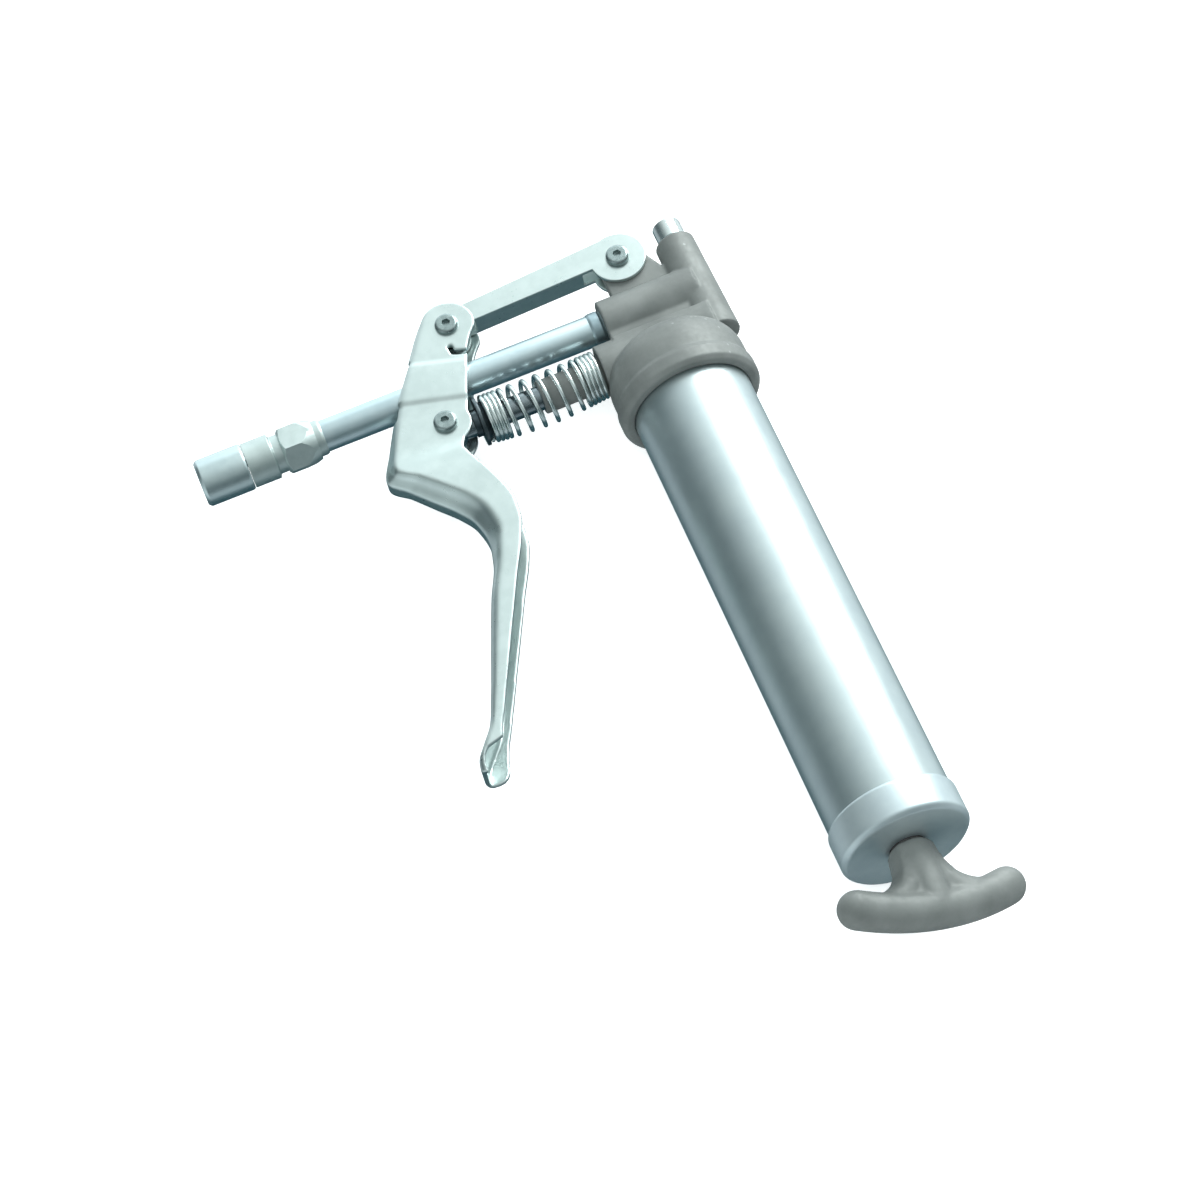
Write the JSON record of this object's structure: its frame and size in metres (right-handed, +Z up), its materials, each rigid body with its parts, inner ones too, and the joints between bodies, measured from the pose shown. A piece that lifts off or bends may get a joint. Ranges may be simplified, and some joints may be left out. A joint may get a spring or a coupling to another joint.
{
  "type": "grease gun",
  "caption": "Pistol-grip mini grease gun with a steel barrel, cast head, lever-driven plunger, rigid nozzle with coupler, and a T-handle follower rod.",
  "frame": {"origin": "centre of the bottom of the outer box, with the gun lying on its side", "axes": "+Y along the barrel towards the head, nozzle towards -X, +Z up, square to the plane that the lever swings in"},
  "size_m": [0.1776, 0.264, 0.0458],
  "materials": {
    "cast_zinc": "as-cast satin grey",
    "seal_rubber": "black nitrile",
    "zinc_plate": "bright zinc plate",
    "black_plastic": "black moulded",
    "hard_steel": "hardened",
    "spring_steel": "bright",
    "soft_copper": "copper sealing washer",
    "dark_steel": "blackened steel"
  },
  "bodies": {
    "frame": {"head_casting": "cast_zinc", "barrel_gasket": "seal_rubber", "barrel_tube": "zinc_plate", "end_cap": "zinc_plate", "rod_bush": "black_plastic", "nozzle_tube": "zinc_plate", "nozzle_lock_ring": "dark_steel", "coupler_body": "zinc_plate", "coupler_sleeve": "zinc_plate", "coupler_jaws": "hard_steel", "coupler_spring": "spring_steel", "coupler_seal": "seal_rubber", "coupler_check_ball": "spring_steel", "plunger_packing": "seal_rubber", "packing_ring": "spring_steel", "outlet_check_spring": "spring_steel", "bleed_washer": "soft_copper", "link_pivot_screw": "spring_steel", "link_pivot_nut": "spring_steel", "return_spring": "spring_steel", "follower_spring": "spring_steel"},
    "outlet_valve": {"outlet_check_ball": "spring_steel"},
    "bleed_screw": {"bleed_screw": "spring_steel"},
    "plunger": {"plunger_rod": "spring_steel", "spring_seat": "dark_steel"},
    "lever": {"lever": "zinc_plate", "lever_pivot_screws": "spring_steel", "lever_pivot_nuts": "spring_steel"},
    "link": {"link": "zinc_plate"},
    "follower": {"follower_piston": "spring_steel", "follower_cup_seal": "seal_rubber"},
    "rod": {"follower_rod": "spring_steel", "t_handle": "cast_zinc", "rod_nut": "spring_steel", "follower_washer": "spring_steel"}
  },
  "joints": [
    {"name": "plunger_slide", "type": "slide", "parent": "frame", "child": "plunger", "axis": [1, 0, 0], "range_m": [0, 0.0165], "deforming": ["return_spring"]},
    {"name": "lever_squeeze", "type": "hinge", "parent": "plunger", "child": "lever", "pos_m": [-0.01172, 0.08622, 0.0229], "axis": [0, 0, 1], "range_deg": [0, 26], "stiffness_Nm_per_rad": 1.95, "springref_deg": -6.36},
    {"name": "link_swing", "type": "hinge", "parent": "frame", "child": "link", "pos_m": [0.05928, 0.12302, 0.0229], "axis": [0, 0, 1], "range_deg": [-2.7, 0]},
    {"name": "follower_slide", "type": "slide", "parent": "frame", "child": "follower", "axis": [0, -1, 0], "range_m": [0, 0.1], "stiffness_N_per_m": 150, "springref_m": -0.05, "deforming": ["follower_spring"]},
    {"name": "handle_spin", "type": "hinge", "parent": "follower", "child": "rod", "pos_m": [0.06078, -0.04727, 0.0229], "axis": [0, 1, 0], "continuous": true},
    {"name": "bleed_turn", "type": "hinge", "parent": "frame", "child": "bleed_screw", "pos_m": [0.07787, 0.11772, 0.0229], "axis": [0, 1, 0], "range_deg": [0, 360]},
    {"name": "outlet_ball_lift", "type": "slide", "parent": "frame", "child": "outlet_valve", "axis": [0, 1, 0], "range_m": [0, 0.0015], "stiffness_N_per_m": 100, "springref_m": -0.001, "deforming": ["outlet_check_spring"]}
  ],
  "couplings": [
    {"joint": "plunger_slide", "follows": "lever_squeeze", "m_per_rad": 0.036038},
    {"joint": "link_swing", "follows": "lever_squeeze", "ratio": -0.10014}
  ]
}
